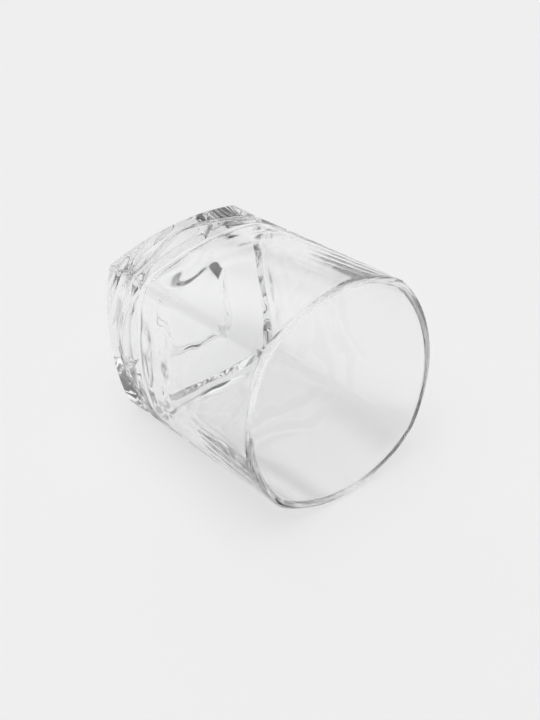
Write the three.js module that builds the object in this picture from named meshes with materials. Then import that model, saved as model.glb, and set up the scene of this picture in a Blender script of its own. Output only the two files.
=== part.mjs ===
// A drinking tumbler of clear pressed glass, upright with its mouth at the top.
// Units are millimetres. The origin is the middle of the foot's underside, and +Z runs up the axis.
// Level by level the outside is a square with bowed sides: crisp and nearly flat-sided at the foot,
// and swelling to an almost round mouth. A groove parts the square foot from the bowl above it, and
// climbs in an arch towards each corner. The underside is hollowed by a shallow square recess.
import * as THREE from "three";

// Outside of the glass, at the level of the foot's underside
const footAcrossSides = 65;
const footAcrossCorners = 79.6;
const footCornerRadius = 3;

// Outside of the glass, at the level of the mouth
const height = 86.5;
const mouthAcrossSides = 82;
const mouthAcrossCorners = 85.5;
const mouthCornerRadius = 6;

// Foot, groove and lower edge of the bowl, at the middle of a side
const footHeight = 7.7;
const footHeelRadius = 1;
const footShoulderRise = 2;
const grooveDepth = 1.2;
const bowlHeelRise = 3;

// The groove at a corner: its depth, and how much higher it lies than at the middle of a side
const cornerGrooveDepth = 1.5;
const grooveArch = 5;

// Recess in the underside, measured halfway down the rounded slope round it
const recessAcrossSides = 29;
const recessAcrossCorners = 35.2;
const recessCornerRadius = 5;
const recessDepth = 4.5;
const recessSlope = 4;
const recessCornerSlope = 7;

// Hollow, and the walls round it. The floor's fillet reaches further in at the sides than at the corners.
const baseThickness = 15;
const floorFillet = 6.5;
const cornerFloorFillet = 5;
const floorFilletRise = 6;
const hollowCornerRadius = 6;
const wallAtFloor = 5.3;
const cornerWallAtFloor = 5.1;
const wallAtMouth = 2.8;

// Height of the band that carries the fire-polished lip
const rimBand = 5;

// Fineness of the faceted surfaces
const sideSteps = 12;
const cornerSteps = 5;
const edgeSteps = 5;
const wallSteps = 8;
const lipSteps = 8;

// A level is half the width over the sides, half the width over the corners, and the corner radius.
function levelOf(acrossSides, acrossCorners, radius) {
  return { side: acrossSides / 2, corner: acrossCorners / 2, radius };
}
const footLevel = levelOf(footAcrossSides, footAcrossCorners, footCornerRadius);
const mouthLevel = levelOf(mouthAcrossSides, mouthAcrossCorners, mouthCornerRadius);
const recessLevel = levelOf(recessAcrossSides, recessAcrossCorners, recessCornerRadius);

// The same level drawn in towards the axis, with its corners tightened in proportion.
function drawnIn(level, inset, cornerInset = inset) {
  const side = level.side - inset;
  return {
    side,
    corner: level.corner - cornerInset,
    radius: (level.radius * side) / level.side,
  };
}

// The level a given share of the way from one level to another, on straight lines.
function between(low, high, share) {
  return {
    side: THREE.MathUtils.lerp(low.side, high.side, share),
    corner: THREE.MathUtils.lerp(low.corner, high.corner, share),
    radius: THREE.MathUtils.lerp(low.radius, high.radius, share),
  };
}

// The outside at a height, before edges and groove: sides and corners run straight from foot to mouth.
function outside(z) {
  return between(footLevel, mouthLevel, z / height);
}

// The hollow at a height, before its floor fillet.
const hollowMouth = drawnIn(mouthLevel, wallAtMouth);
const hollowFloor = {
  side: outside(baseThickness).side - wallAtFloor,
  corner: outside(baseThickness).corner - cornerWallAtFloor,
  radius: hollowCornerRadius,
};
function hollow(z) {
  return between(
    hollowFloor,
    hollowMouth,
    (z - baseThickness) / (height - baseThickness),
  );
}

// Numbers from 0 to 1 in equal steps, both ends included.
function shares(steps) {
  return Array.from({ length: steps + 1 }, (_, step) => step / steps);
}

// How near a direction from the axis is to a corner: 0 at the middle of a side, 1 at the corner.
function cornerShare(x, y) {
  return ((2 * x * y) / (x ** 2 + y ** 2)) ** 2;
}

// The outline of a level as points at one height, counter-clockwise seen from above, and lifted by
// arch towards the corners. Each side is an arc that runs smoothly into the round corners at its two
// ends: curve is one over its radius, and meet is how far from the side's middle the corner begins.
function ring(level, z, arch = 0) {
  const { side, corner, radius } = level;
  const centre = (corner - radius) / Math.SQRT2;
  const reach = centre - side;
  const curve = (2 * (reach + radius)) / (radius ** 2 - centre ** 2 - reach ** 2);
  const meet = centre / (1 - radius * curve);
  const turn = Math.asin(curve * meet);
  const bowedSide = shares(sideSteps).map((share) => {
    const y = meet * (2 * share - 1);
    const sag = (curve * y ** 2) / (1 + Math.sqrt(1 - (curve * y) ** 2));
    return new THREE.Vector2(side - sag, y);
  });
  const roundCorner = shares(cornerSteps).map((share) => {
    const angle = THREE.MathUtils.lerp(turn, Math.PI / 2 - turn, share);
    return new THREE.Vector2(
      centre + radius * Math.cos(angle),
      centre + radius * Math.sin(angle),
    );
  });
  const quarter = [...bowedSide.slice(0, -1), ...roundCorner.slice(0, -1)];
  const axis = new THREE.Vector2(0, 0);
  return [0, 1, 2, 3].flatMap((turns) =>
    quarter.map((point) => {
      const { x, y } = point.clone().rotateAround(axis, (turns * Math.PI) / 2);
      return new THREE.Vector3(x, y, z + arch * cornerShare(x, y));
    }),
  );
}

// Rings of a rounded edge, a quarter of an ellipse: it leaves the wall at wallZ, upright,
// and ends level at endZ, drawn in by depth at the sides and by cornerDepth at the corners.
function edge(levelAt, wallZ, endZ, depth, cornerDepth = depth, arch = 0) {
  return shares(edgeSteps).map((share) => {
    const angle = (share * Math.PI) / 2;
    const z = wallZ + (endZ - wallZ) * Math.sin(angle);
    const inward = 1 - Math.cos(angle);
    return ring(drawnIn(levelAt(z), depth * inward, cornerDepth * inward), z, arch);
  });
}

// A ring of the bowl's outer wall. The arch of the groove fades out on the way up to the rim band.
const heelTop = footHeight + bowlHeelRise;
const bandBottom = height - rimBand;
function outerRing(z) {
  const left = (bandBottom - z) / (bandBottom - heelTop);
  return ring(outside(z), z, grooveArch * left ** 3);
}

// A ring of the hollow's wall.
function innerRing(z) {
  return ring(hollow(z), z);
}

// Rings of a wall between two heights, both included.
function wall(ringAt, from, to) {
  return shares(wallSteps).map((share) => ringAt(THREE.MathUtils.lerp(from, to, share)));
}

// Rings of the slope round the recess, from its flat roof down and out to the face the glass stands on.
// The slope is wider at the corners than at the sides.
function recessRings() {
  return shares(edgeSteps).map((share) => {
    const z = recessDepth * (1 - THREE.MathUtils.smoothstep(share, 0, 1));
    const inset = recessSlope * (0.5 - share);
    const cornerInset = recessCornerSlope * (0.5 - share);
    return ring(drawnIn(recessLevel, inset, cornerInset), z);
  });
}

// A closed skin over rings listed from the outside's lowest to the hollow's lowest.
// Bands join neighbouring rings. Where the heights of two points on the axis are given, fans close
// the ends on them. Otherwise one more band joins the last ring to the first.
function skin(rings, belowZ, aboveZ) {
  const count = rings[0].length;
  const points = rings.flat();
  const faces = [];
  const closesOnItself = belowZ === undefined;
  const at = (row, step) => (row % rings.length) * count + (step % count);
  const bands = closesOnItself ? rings.length : rings.length - 1;
  for (let row = 0; row < bands; row++) {
    for (let step = 0; step < count; step++) {
      const [a, b] = [at(row, step), at(row, step + 1)];
      const [c, d] = [at(row + 1, step + 1), at(row + 1, step)];
      faces.push(a, b, c, a, c, d);
    }
  }
  if (!closesOnItself) {
    const last = rings.length - 1;
    const below = points.push(new THREE.Vector3(0, 0, belowZ)) - 1;
    const above = points.push(new THREE.Vector3(0, 0, aboveZ)) - 1;
    for (let step = 0; step < count; step++) {
      faces.push(below, at(0, step + 1), at(0, step));
      faces.push(above, at(last, step), at(last, step + 1));
    }
  }
  const geometry = new THREE.BufferGeometry().setFromPoints(points);
  geometry.setIndex(faces);
  geometry.computeVertexNormals();
  return geometry;
}

// The square foot: a recess under it, a rounded heel, an upright side and a rounded shoulder that
// runs into the arched groove.
function footGeometry() {
  const shoulder = footHeight - footShoulderRise;
  return skin(
    [
      ...recessRings(),
      ...edge(outside, footHeelRadius, 0, footHeelRadius).reverse(),
      ...edge(outside, shoulder, footHeight, grooveDepth, cornerGrooveDepth, grooveArch),
    ],
    recessDepth,
    footHeight,
  );
}

// The bowl: its heel rises out of the groove, the wall goes up to the rim band, and the hollow
// comes down inside it to a filleted floor over the thick base.
function bowlGeometry() {
  const filletTop = baseThickness + floorFilletRise;
  const heel = edge(outside, heelTop, footHeight, grooveDepth, cornerGrooveDepth, grooveArch);
  return skin(
    [
      ...heel.reverse(),
      ...wall(outerRing, heelTop, bandBottom).slice(1),
      ...wall(innerRing, bandBottom, filletTop).slice(0, -1),
      ...edge(hollow, filletTop, baseThickness, floorFillet, cornerFloorFillet),
    ],
    footHeight,
    baseThickness,
  );
}

// The rim: a band of wall whose top is a full round from the outside over to the hollow.
function rimGeometry() {
  const lipRadius = wallAtMouth / 2;
  const lipStart = height - lipRadius;
  const lip = shares(lipSteps).map((share) => {
    const angle = share * Math.PI;
    const z = lipStart + lipRadius * Math.sin(angle);
    return ring(drawnIn(outside(z), lipRadius * (1 - Math.cos(angle))), z);
  });
  return skin([outerRing(bandBottom), ...lip, innerRing(bandBottom)]);
}

// Clear, colourless, fire-polished glass.
function clearGlass() {
  return new THREE.MeshStandardMaterial({
    color: 0xf2f5f4,
    roughness: 0.03,
    metalness: 0,
    transparent: true,
    opacity: 0.35,
  });
}

const tumbler = new THREE.Group();
const pieces = { foot: footGeometry(), bowl: bowlGeometry(), rim: rimGeometry() };
for (const [name, geometry] of Object.entries(pieces)) {
  const mesh = new THREE.Mesh(geometry, clearGlass());
  mesh.name = name;
  tumbler.add(mesh);
}

export default tumbler;
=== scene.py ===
# %% [markdown]
# # A square tumbler of clear pressed glass
# This lesson dresses a finished solid model of a drinking glass for a product picture. The packed
# model gives the frame and the size: the glass stands upright on the origin, with its mouth up. In
# the picture the same glass lies on one side. The glass could be tipped over, but then it would no
# longer match the model that it dresses, so it stays upright here, and the floor, the camera and the
# light are turned round it instead.

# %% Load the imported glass
import math

import bpy
import numpy as np
from mathutils import Matrix, Vector


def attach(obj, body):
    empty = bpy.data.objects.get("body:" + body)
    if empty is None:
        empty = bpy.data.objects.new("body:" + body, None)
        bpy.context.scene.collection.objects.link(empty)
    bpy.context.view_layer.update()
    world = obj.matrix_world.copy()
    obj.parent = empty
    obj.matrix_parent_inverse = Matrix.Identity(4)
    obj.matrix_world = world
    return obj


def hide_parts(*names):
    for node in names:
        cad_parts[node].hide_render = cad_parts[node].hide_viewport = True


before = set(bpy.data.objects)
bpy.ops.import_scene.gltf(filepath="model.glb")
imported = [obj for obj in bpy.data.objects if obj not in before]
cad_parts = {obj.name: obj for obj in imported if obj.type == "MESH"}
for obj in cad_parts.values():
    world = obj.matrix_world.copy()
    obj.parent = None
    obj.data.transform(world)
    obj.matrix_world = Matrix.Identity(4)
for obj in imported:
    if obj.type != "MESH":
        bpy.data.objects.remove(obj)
scene = bpy.context.scene
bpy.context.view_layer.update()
MM = 0.001


# %% [markdown]
# ## Levels of the glass
# Cut across its axis, the real glass is a square with bowed sides and round corners. Three numbers
# tell one such level from another: half the width over the sides, half the width over the corners,
# and the corner radius. All three run straight from foot to mouth, so a crisp square foot swells into
# an almost round mouth. A cube could be subdivided and pushed into this shape by hand, but a clear
# glass shows every unevenness of its wall twice, once on each face, so here the levels are worked out.

# %% Outside of the glass
height = 86.5 * MM
foot_level = np.array([32.5, 39.8, 3.0]) * MM
mouth_level = np.array([41.0, 42.75, 6.0]) * MM


def blend(first, last, share):
    """A straight blend: the first times one minus the share, plus the last times the share."""
    return first * (1 - share) + last * share


def outside(z):
    """Levels of the outer wall: a straight blend from the foot's level to the mouth's."""
    return blend(foot_level, mouth_level, (z / height)[:, None])


print("mouth over foot, across the sides:", round(mouth_level[0] / foot_level[0], 3))

# %% [markdown]
# The hollow is what the plunger of the press leaves. Its walls are thick above the floor and thin at
# the mouth, and its sides are straighter than the outside's, so the glass is thickest at the middle
# of each side. It could be cut out of a solid block with a Boolean, but its rows have to meet those of
# the lip one by one. So the same kind of level describes it, with three wall thicknesses taken off.

# %% Hollow
base_thickness = 15.0 * MM
wall_at_floor, corner_wall_at_floor = 5.3 * MM, 5.1 * MM
hollow_corner_radius = 6.0 * MM
wall_at_mouth = 2.8 * MM


def drawn_in(levels, inset, corner_inset):
    """Levels moved towards the axis, by one inset at the sides and another at the corners.

    The corner radius shrinks in proportion to the half width over the sides."""
    side = levels[:, 0] - inset
    return np.stack([side, levels[:, 1] - corner_inset, levels[:, 2] * side / levels[:, 0]], axis=1)


base_side, base_corner, _ = outside(np.array([base_thickness]))[0]
bottom_level = np.array([
    base_side - wall_at_floor,
    base_corner - corner_wall_at_floor,
    hollow_corner_radius,
])
top_level = drawn_in(mouth_level[None], wall_at_mouth, wall_at_mouth)[0]


def hollow(z):
    """Levels of the inner wall: a straight blend from the hollow's floor to the mouth less the wall."""
    share = (z - base_thickness) / (height - base_thickness)
    return blend(bottom_level, top_level, share[:, None])


print("hollow across the sides at its floor in mm:", round(2 * bottom_level[0] / MM, 2))

# %% [markdown]
# ## The walk along the profile
# Start under the middle of the foot. Walk out across the recess and the ring that the glass stands
# on, up the outside, over the lip, and down the inside to the middle of the floor. Each step of that
# walk is one row: a level, its height, and how much higher the row lies at the corners than at the
# middles of the sides. The rounded edges are quarter ellipses, and the lip is half a circle, because
# a flame rounds it. A bevel modifier could round them too, but it would not know that this groove
# climbs in an arch towards each corner of the foot.

# %% Rows of rounded edges
edge_rows = 12


def rows_of(levels, z, arch):
    """Rows of five columns: the three numbers of a level, its height, and its rise at the corners."""
    return np.column_stack([levels, z, np.broadcast_to(arch, z.shape)])


def edge(levels_at, wall_z, end_z, depth, corner_depth, arch=0.0):
    """A quarter ellipse: the sine of an angle carries the height from wall_z to end_z, while one minus
    its cosine carries the level inwards to the full depth."""
    angle = np.linspace(0, np.pi / 2, edge_rows)
    z = wall_z + (end_z - wall_z) * np.sin(angle)
    inward = 1 - np.cos(angle)
    return rows_of(drawn_in(levels_at(z), depth * inward, corner_depth * inward), z, arch)


print("rows of a rounded edge:", edge_rows)

# %% Rows of walls, lip and flat faces
wall_rows, lip_rows, flat_rows = 48, 16, 16
lip_radius = wall_at_mouth / 2
lip_start = height - lip_radius


def wall(levels_at, start, end, arch):
    """A straight wall between two heights, without its two ends. The arch fades with the third power."""
    share = np.linspace(0, 1, wall_rows + 2)[1:-1]
    z = start + (end - start) * share
    return rows_of(levels_at(z), z, arch * (1 - share) ** 3)


def lip():
    """Half a circle from the outer wall over to the inner wall."""
    angle = np.linspace(0, np.pi, lip_rows)
    z = lip_start + lip_radius * np.sin(angle)
    inward = lip_radius * (1 - np.cos(angle))
    return rows_of(drawn_in(outside(z), inward, inward), z, 0.0)


def flat(first, last):
    """A flat face: equal steps from one row's level to another's, without its two ends."""
    return blend(first, last, np.linspace(0, 1, flat_rows + 2)[1:-1, None])


print("rows of a wall, the lip and a flat face:", wall_rows, lip_rows, flat_rows)

# %% [markdown]
# The foot is a square slab with a small rounding, the heel, along its lower edge. Its shoulder curves
# into a groove, and out of the groove rises the heel of the bowl. The groove could be cut with a
# Boolean, but that leaves a seam and long thin faces, and clear glass shows both. So it is two more
# quarter ellipses of the walk, which meet at its bottom.

# %% Foot and groove
foot_height = 7.7 * MM
foot_heel = 1.0 * MM
foot_shoulder_rise, bowl_heel_rise = 2.0 * MM, 3.0 * MM
groove_depth, corner_groove_depth = 1.2 * MM, 1.5 * MM
groove_arch = 5.0 * MM
groove_top = foot_height + groove_arch
foot_shoulder = foot_height - foot_shoulder_rise
bowl_heel_top = foot_height + bowl_heel_rise

# Both edges end at the bottom of the groove, so the bowl's heel leaves out the row that they share.
groove_bottom = (foot_height, groove_depth, corner_groove_depth, groove_arch)
foot_heel_rows = edge(outside, foot_heel, 0.0, foot_heel, foot_heel)[::-1]
shoulder_rows = edge(outside, foot_shoulder, *groove_bottom)
bowl_heel_rows = edge(outside, bowl_heel_top, *groove_bottom)[-2::-1]
print("height of the groove in mm:", round(foot_height / MM, 2), "to", round(groove_top / MM, 2))

# %% [markdown]
# The underside is pressed in, so that the glass stands on a flat ring and does not rock. The recess
# is a rounded square with a soft slope round it, and its level is the one halfway down that slope.
# Seen from the mouth, the slope is the small frame in the middle of the base. Sculpting could sink
# it, but rows of the walk keep all four sides alike.

# %% Recess in the underside
recess_level = np.array([14.5, 17.6, 5.0]) * MM
recess_depth = 4.5 * MM
recess_slope, recess_corner_slope = 4.0 * MM, 7.0 * MM
slope_rows = 24


def smooth(value, low, high):
    """The smooth step from 0 at low to 1 at high: three t squared less two t cubed."""
    t = np.clip((value - low) / (high - low), 0, 1)
    return t**2 * (3 - 2 * t)


def slope():
    """The slope round the recess: equal steps outwards, wider ones at the corners, while the height
    falls by a smooth step."""
    share = np.linspace(0, 1, slope_rows)
    inset, corner_inset = recess_slope * (0.5 - share), recess_corner_slope * (0.5 - share)
    levels = drawn_in(recess_level[None], inset, corner_inset)
    return rows_of(levels, recess_depth * (1 - smooth(share, 0, 1)), 0.0)


def middle_of(z):
    """The row on the axis at a height: a level of no size."""
    return np.array([0.0, 0.0, 0.0, z, 0.0])


recess_rows = slope()
recess_roof = flat(middle_of(recess_depth), recess_rows[0])
standing_ring = flat(recess_rows[-1], foot_heel_rows[0])
ring_width = foot_heel_rows[0, 0] - recess_rows[-1, 0]
print("width of the ring it stands on in mm:", round(ring_width / MM, 2))

# %% [markdown]
# The rounded end of the plunger leaves a fillet between the walls and the floor of the hollow. It is
# wider at the sides than at the corners. A Bevel modifier would make it equally wide all round, but a
# quarter ellipse takes one depth for the sides and another for the corners. With it the walk is whole.

# %% Floor of the hollow
floor_fillet, corner_floor_fillet = 6.5 * MM, 5.0 * MM
floor_fillet_rise = 6.0 * MM
fillet_top = base_thickness + floor_fillet_rise
fillet_rows = edge(hollow, fillet_top, base_thickness, floor_fillet, corner_floor_fillet)
hollow_floor = flat(fillet_rows[-1], middle_of(base_thickness))

outer_rows = np.concatenate([
    recess_roof,
    recess_rows,
    standing_ring,
    foot_heel_rows,
    shoulder_rows,
    bowl_heel_rows,
    wall(outside, bowl_heel_top, lip_start, groove_arch),
    lip(),
])
inner_rows = np.concatenate([
    wall(hollow, lip_start, fillet_top, 0.0),
    fillet_rows,
    hollow_floor,
])
profile = np.concatenate([outer_rows, inner_rows])
print("rows of the profile:", len(profile))

# %% [markdown]
# ## One skin of glass
# Every row becomes a ring of points, and the rings become one closed skin. The solid model keeps foot,
# bowl and rim apart, but the real glass is a single piece, and a face left inside it would show as a
# mirror. So one mesh replaces all three.

# %% Rings of points
side_steps, corner_steps = 56, 20


def corner_share(x, y):
    """0 in the direction of a side's middle and 1 in that of a corner: the square of the sine of
    twice the direction's angle."""
    return (2 * x * y / (x**2 + y**2)) ** 2


def rings(rows):
    """A ring of points for every row. On a side, x is the half width less the sagitta of the one bow
    that is tangent to both corner circles. On a corner, the points follow that circle. The quarter is
    turned four times, and every point rises by its row's arch times its corner share."""
    side, corner, radius, z, arch = (rows[:, i : i + 1] for i in range(5))
    centre = (corner - radius) / math.sqrt(2)
    reach = centre - side
    curve = 2 * (reach + radius) / (radius**2 - centre**2 - reach**2)
    meet = centre / (1 - radius * curve)
    turn = np.arcsin(curve * meet)
    side_y = meet * np.linspace(-1, 1, side_steps + 1)[None, :-1]
    side_x = side - curve * side_y**2 / (1 + np.sqrt(1 - (curve * side_y) ** 2))
    angle = turn + (np.pi / 2 - 2 * turn) * np.linspace(0, 1, corner_steps + 1)[None, :-1]
    x = np.concatenate([side_x, centre + radius * np.cos(angle)], axis=1)
    y = np.concatenate([side_y, centre + radius * np.sin(angle)], axis=1)
    x, y = np.concatenate([x, -y, -x, y], axis=1), np.concatenate([y, x, -y, -x], axis=1)
    return np.stack([x, y, z + arch * corner_share(x, y)], axis=2)


true_rings = rings(profile)
print("points round a ring:", true_rings.shape[1])

# %% [markdown]
# Pressed glass is never quite true. Mould and plunger chill its skin while the middle is still soft,
# and as the thick base cools, it pulls the floor of the hollow, and the foot a little, into shallow
# waves. They are what makes the lines in the base waver. They could be sculpted by hand, but a sum of
# sines is quicker and comes out the same every time. The ring that the glass stands on stays flat,
# and the waves die out on the way up the walls.

# %% Waves in the base
wave_count = 8
wave_seed = 4
shortest_wave, longest_wave = 6.0 * MM, 13.0 * MM
draw = np.random.default_rng(wave_seed)
wave_way = draw.normal(size=(wave_count, 3))
wave_way /= np.linalg.norm(wave_way, axis=1)[:, None]
wave_length = draw.uniform(shortest_wave, longest_wave, wave_count)
wave_start = draw.uniform(0, 2 * np.pi, wave_count)


def waves(points):
    """The mean of a few sines, each with its own direction, length and start."""
    phase = points @ (2 * np.pi * wave_way / wave_length[:, None]).T + wave_start
    return np.sin(phase).mean(axis=-1)


print("lengths of the waves in mm:", np.round(np.sort(wave_length) / MM, 1).tolist())

# %% Waved rings
foot_wave, floor_wave = 0.05 * MM, 0.45 * MM
wave_from, wave_full = 0.5 * MM, 4.0 * MM
wave_fading, wave_gone = 20.0 * MM, 48.0 * MM


def outward(grid):
    """Unit normals: the cross product of the step round a ring and the step to the next row."""
    round_step = np.roll(grid, -1, axis=1) - np.roll(grid, 1, axis=1)
    normal = np.cross(round_step, np.gradient(grid, axis=0))
    return normal / np.linalg.norm(normal, axis=2, keepdims=True)


ring_z = true_rings[:, :, 2]
wave_share = smooth(ring_z, wave_from, wave_full) * (1 - smooth(ring_z, wave_fading, wave_gone))
row_wave = np.repeat([foot_wave, floor_wave], [len(outer_rows), len(inner_rows)])
swell = wave_share * waves(true_rings) * row_wave[:, None]
waved_rings = true_rings + swell[:, :, None] * outward(true_rings)
print("deepest and highest wave in mm:", round(swell.min() / MM, 3), round(swell.max() / MM, 3))

# %% [markdown]
# The rings are now joined: quads bridge each ring to the next, and the two ends close in a fan on the
# axis. A Screw modifier could sweep a profile into a skin, but only round a circle, and this glass is
# square below. Numbering the points row by row lets numpy list all faces at once.

# %% Skin over the rings


def add_object(name, data):
    """Makes an object of a mesh or a camera and puts it into the scene."""
    made = bpy.data.objects.new(name, data)
    scene.collection.objects.link(made)
    return made


def closed_skin(name, grid, first_pole, last_pole):
    """A mesh over a grid of rings: quads between neighbouring rings, and a fan to a pole at each end."""
    rows, columns = grid.shape[:2]
    at = np.arange(rows * columns).reshape(rows, columns)
    ahead = np.roll(at, -1, axis=1)
    quads = np.stack([at[:-1], ahead[:-1], ahead[1:], at[1:]], axis=2).reshape(-1, 4)
    first, last = rows * columns, rows * columns + 1
    fans = np.concatenate([
        np.stack([np.full(columns, first), ahead[0], at[0]], axis=1),
        np.stack([np.full(columns, last), at[-1], ahead[-1]], axis=1),
    ])
    points = np.concatenate([grid.reshape(-1, 3), [first_pole, last_pole]])
    mesh = bpy.data.meshes.new(name)
    mesh.from_pydata(points.tolist(), [], quads.tolist() + fans.tolist())
    mesh.polygons.foreach_set("use_smooth", np.ones(len(mesh.polygons), bool))
    mesh.update()
    return add_object(name, mesh)


glass = closed_skin("tumbler_glass", waved_rings, (0, 0, recess_depth), (0, 0, base_thickness))
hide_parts("foot", "bowl", "rim")
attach(glass, "root")
print("faces of the glass:", len(glass.data.polygons))

# %% [markdown]
# ## Shader maths
# Nodes could be placed and wired by hand, but node trees are easier to read as arithmetic. This small
# class wraps a socket, and each sum or product of two values adds the Math node that works it out, so
# the straight blend of the levels works on shader values too. Every other kind of node comes from one
# function.

# %% A small shader language


class Value:
    """A number at a socket of a node tree. Arithmetic on it adds Math nodes."""

    def __init__(self, tree, socket):
        self.tree, self.socket = tree, socket

    def worked_out(self, operation, *terms):
        """The value that one Math node makes of its terms."""
        made = add_node(self.tree, "ShaderNodeMath", {"operation": operation}, dict(enumerate(terms)))
        return Value(self.tree, made.outputs[0])

    def capped(self, limit):
        """This value or the limit, whichever is less."""
        return self.worked_out("MINIMUM", self, limit)

    def __add__(self, other):
        return self.worked_out("ADD", self, other)

    def __sub__(self, other):
        return self.worked_out("SUBTRACT", self, other)

    def __rsub__(self, other):
        return self.worked_out("SUBTRACT", other, self)

    def __mul__(self, other):
        return self.worked_out("MULTIPLY", self, other)

    __radd__, __rmul__ = __add__, __mul__


print("operators of the shader language: + - *")

# %% Nodes of every kind


def add_node(tree, kind, settings, inputs):
    """Adds one node: its settings first, then a value or a link for each named or numbered socket."""
    node = tree.nodes.new(kind)
    for key, setting in settings.items():
        setattr(node, key, setting)
    for key, value in inputs.items():
        if isinstance(value, Value):
            value = value.socket
        if isinstance(value, bpy.types.NodeSocket):
            tree.links.new(value, node.inputs[key])
        else:
            node.inputs[key].default_value = value
    return node


def fresh_tree(owner):
    """Switches nodes on for a material or a world and empties its tree."""
    owner.use_nodes = True
    owner.node_tree.nodes.clear()
    return owner.node_tree


def ray_facts(tree, *names):
    """What is known of the ray that meets a surface or the room, as shader values."""
    ray = add_node(tree, "ShaderNodeLightPath", {}, {})
    return [Value(tree, ray.outputs[name]) for name in names]


print("materials so far:", len(bpy.data.materials))

# %% [markdown]
# ## Clear pressed glass
# Soda-lime glass bends light by a factor of 1.52 and has hardly any colour. Its fire-polished skin
# keeps a faint ripple, with crests about 25 mm apart and a hundredth of a millimetre or so high. The
# ripple could be pushed into the mesh like the waves of the base, but a bump bends the light in the
# same way and leaves the size of the glass alone.

# %% Glass
glass_tint = (0.985, 0.99, 0.987, 1)
glass_bend = 1.52
ripples_per_metre = 40.0
ripple_detail = 1.0
ripple_strength, ripple_height = 0.02, 1.0 * MM
glass_look = bpy.data.materials.new("clear_pressed_glass")
tree = fresh_tree(glass_look)
place = add_node(tree, "ShaderNodeTexCoord", {}, {})
ripple = add_node(
    tree,
    "ShaderNodeTexNoise",
    {},
    {"Vector": place.outputs["Object"], "Scale": ripples_per_metre, "Detail": ripple_detail},
)
rippled = add_node(
    tree,
    "ShaderNodeBump",
    {},
    {"Strength": ripple_strength, "Distance": ripple_height, "Height": ripple.outputs["Fac"]},
)
shine = add_node(
    tree,
    "ShaderNodeBsdfPrincipled",
    {},
    {
        "Base Color": glass_tint,
        "Roughness": 0.0,
        "IOR": glass_bend,
        "Transmission Weight": 1.0,
        "Normal": rippled.outputs["Normal"],
    },
)
add_node(tree, "ShaderNodeOutputMaterial", {}, {"Surface": shine.outputs[0]})
glass.data.materials.append(glass_look)
print("material on the glass:", glass_look.name)

# %% [markdown]
# ## The floor beside the glass
# The glass lies with its foot and its mouth on the floor, along one side. Here the floor leans against
# the upright glass like a wall, at about the slope of the side that it meets, and is rolled a little
# round the axis, because a bowed side can lie a little off its middle. A plane could be added and
# turned by hand, but the camera and the light need the floor's directions too, so they are worked out.

# %% Floor
lean = math.radians(5.76)
roll = math.radians(1.45)
floor_up = Vector((math.sin(roll) * math.cos(lean), math.cos(roll) * math.cos(lean), math.sin(lean)))
floor_along = (Vector((0, 0, 1)) - floor_up.z * floor_up).normalized()
floor_across = floor_up.cross(floor_along)

# Foot and mouth keep clear of the floor by less than half a millimetre, so that no faces meet.
floor_level = -32.46 * MM
floor_reach = 1.6


def floor_corner(along, across):
    """A corner of the floor: its middle point plus the reach along two directions in its plane."""
    return tuple(floor_up * floor_level + floor_reach * (along * floor_along + across * floor_across))


floor_corners = [floor_corner(-1, -1), floor_corner(1, -1), floor_corner(1, 1), floor_corner(-1, 1)]
floor_mesh = bpy.data.meshes.new("floor")
floor_mesh.from_pydata(floor_corners, [], [(0, 1, 2, 3)])
floor_mesh.update()
floor = add_object("floor", floor_mesh)
print("floor faces the glass:", floor_mesh.polygons[0].normal.dot(floor_up) > 0)

# %% [markdown]
# ## Pale paper
# The ground of a product picture is pale and matt, and nearly as even as the page round it. A plain
# matt surface could do, but it would show every change of the light. So three quarters of its tone is
# an even glow that only the eye sees, straight or by way of the glass, and the matt rest keeps the
# shadow. The paper is seen only from the glass's side: from behind it is clear, so that it never hides
# the glass in other views.

# %% Paper
white = (1, 1, 1, 1)
paper_tone = (0.9, 0.9, 0.9, 1)

# A level is a share of white in the amount of light.
page_level = 0.863
page_share = 0.75
paper = bpy.data.materials.new("pale_paper")
tree = fresh_tree(paper)
seen, mirrored, seen_through = ray_facts(tree, "Is Camera Ray", "Is Glossy Ray", "Is Transmission Ray")
shown_page = (seen + mirrored + seen_through).capped(1.0) * page_share
matt = add_node(tree, "ShaderNodeBsdfDiffuse", {}, {"Color": paper_tone})
page = add_node(tree, "ShaderNodeEmission", {}, {"Color": white, "Strength": page_level})
sheet = add_node(
    tree, "ShaderNodeMixShader", {}, {0: shown_page, 1: matt.outputs[0], 2: page.outputs[0]}
)
clear = add_node(tree, "ShaderNodeBsdfTransparent", {}, {})
facing = add_node(tree, "ShaderNodeNewGeometry", {}, {})
front_only = add_node(
    tree,
    "ShaderNodeMixShader",
    {},
    {0: facing.outputs["Backfacing"], 1: sheet.outputs[0], 2: clear.outputs[0]},
)
add_node(tree, "ShaderNodeOutputMaterial", {}, {"Surface": front_only.outputs[0]})
floor.data.materials.append(paper)
print("material on the floor:", paper.name)

# %% [markdown]
# ## Camera
# The camera could be set by eye, but its place was found by laying the outlines of the foot and the
# mouth over the photograph, which is more exact. It looks into the mouth from above and from the
# glass's diagonal, with a long lens.

# %% Camera
camera_place = Vector((-335.6, 362.3, 486.3)) * MM
aim = Vector((0.5075, -0.5522, -0.6614)).normalized()
right_axis = aim.cross(floor_up).normalized()
up_axis = right_axis.cross(aim)
photo_long_side = 720
focal_pixels = 1919.1
nearest_seen = 10.0 * MM
lens = bpy.data.cameras.new("camera")
lens.sensor_width = 36.0
lens.lens = focal_pixels * lens.sensor_width / photo_long_side
lens.clip_start = nearest_seen
camera = add_object("camera", lens)
camera.matrix_world = Matrix((right_axis, up_axis, -aim)).transposed().to_4x4()
camera.location = camera_place
scene.camera = camera
scene.view_settings.view_transform = "Standard"
print("lens in mm:", round(lens.lens, 2))

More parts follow.
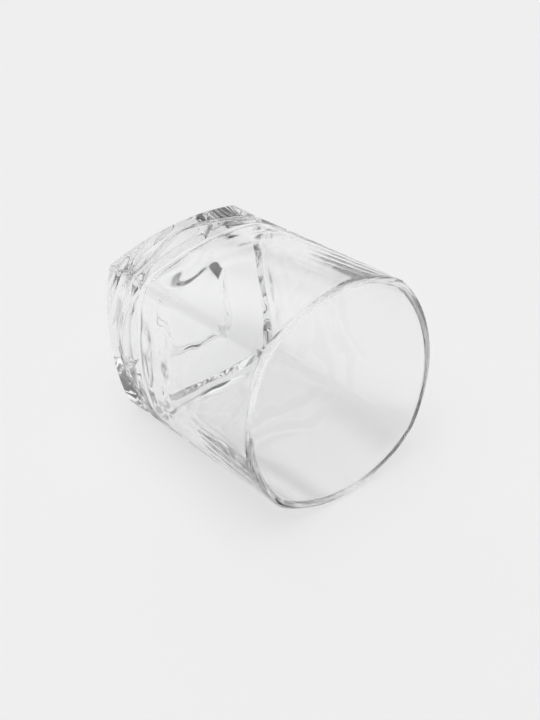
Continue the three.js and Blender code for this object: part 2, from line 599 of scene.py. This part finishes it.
# %% [markdown]
# ## Light
# A glass has no look of its own: it shows the room, bent. A photographer of glass therefore lights the
# room and not the glass. Here one large soft box hangs over the set, a fainter one lights the upper
# side from behind, the pale table runs on into a pale wall low down, and the rest of the room stays
# dim. The dim part draws the dark lines along the edges of the glass. Lamps could do this, but soft
# zones in the world are simpler.

# %% Room round the glass
room_level = 0.015
wall_level = 0.86

# The wall is whole where the sine of the rise from the floor is wall_full, and gone at wall_gone.
wall_full, wall_gone = 0.08, 0.28
world = bpy.data.worlds.new("studio")
scene.world = world
tree = fresh_tree(world)
way = add_node(tree, "ShaderNodeTexCoord", {}, {}).outputs["Generated"]


def step_along(axis, start, end):
    """A smooth step over the cosine between the way looked and an axis, from 0 at start to 1 at end."""
    cosine = add_node(
        tree, "ShaderNodeVectorMath", {"operation": "DOT_PRODUCT"}, {0: way, 1: tuple(axis)}
    )
    step = add_node(
        tree,
        "ShaderNodeMapRange",
        {"interpolation_type": "SMOOTHSTEP"},
        {"Value": cosine.outputs["Value"], "From Min": start, "From Max": end},
    )
    return Value(tree, step.outputs[0])


brightness = blend(wall_level, room_level, step_along(floor_up, wall_full, wall_gone))
print("wall over room:", round(wall_level / room_level, 1))

# %% Soft boxes
overhead_box = {"turn": -40, "rise": 80, "core": 18, "fade": 36, "level": 3.6}
rear_box = {"turn": -165, "rise": 42, "core": 14, "fade": 34, "level": 1.1}
to_camera = (floor_up.dot(aim) * floor_up - aim).normalized()
to_right = floor_up.cross(to_camera)


def soft_box(brightness, turn, rise, core, fade, level):
    """Blends a round zone to its own level: fully within the core angle from its middle, and not at all
    beyond the fade angle. Its middle is turned to the right of the camera's bearing and raised from
    the floor. All angles are in degrees."""
    turn, rise, core, fade = (math.radians(angle) for angle in (turn, rise, core, fade))
    bearing = math.cos(turn) * to_camera + math.sin(turn) * to_right
    middle = math.cos(rise) * bearing + math.sin(rise) * floor_up
    inside = step_along(middle, math.cos(fade), math.cos(core))
    return blend(brightness, level, inside)


for box in (overhead_box, rear_box):
    brightness = soft_box(brightness, **box)
    print("soft box turned by", box["turn"], "degrees, at a level of", box["level"])

# %% [markdown]
# A soft box is brighter than white, and a glass in front of it would burn out. So the eye sees the
# room itself as plain page, and through or in the glass no brighter than white. Only the matt part of
# the floor is lit by the soft boxes at their full strength.

# %% What the eye sees of the room
white_level = 1.0
seen, matt_steps = ray_facts(tree, "Is Camera Ray", "Diffuse Depth")
from_matt = matt_steps.capped(1.0)
shown = blend(brightness.capped(white_level), page_level, seen)
strength = blend(shown, brightness, from_matt)
back = add_node(tree, "ShaderNodeBackground", {}, {"Color": white, "Strength": strength})
add_node(tree, "ShaderNodeOutputWorld", {}, {"Surface": back.outputs[0]})
print("nodes of the room:", len(tree.nodes))

# %% [markdown]
# Light has to cross many faces of the thick base before it comes out again. A path that is given up
# on the way shows as a dark speck, so light is followed for more steps than usual.

# %% Steps of light
light_steps = 24
cycles = scene.cycles
cycles.max_bounces = cycles.glossy_bounces = cycles.transmission_bounces = light_steps
print("steps that light is followed for:", cycles.max_bounces)
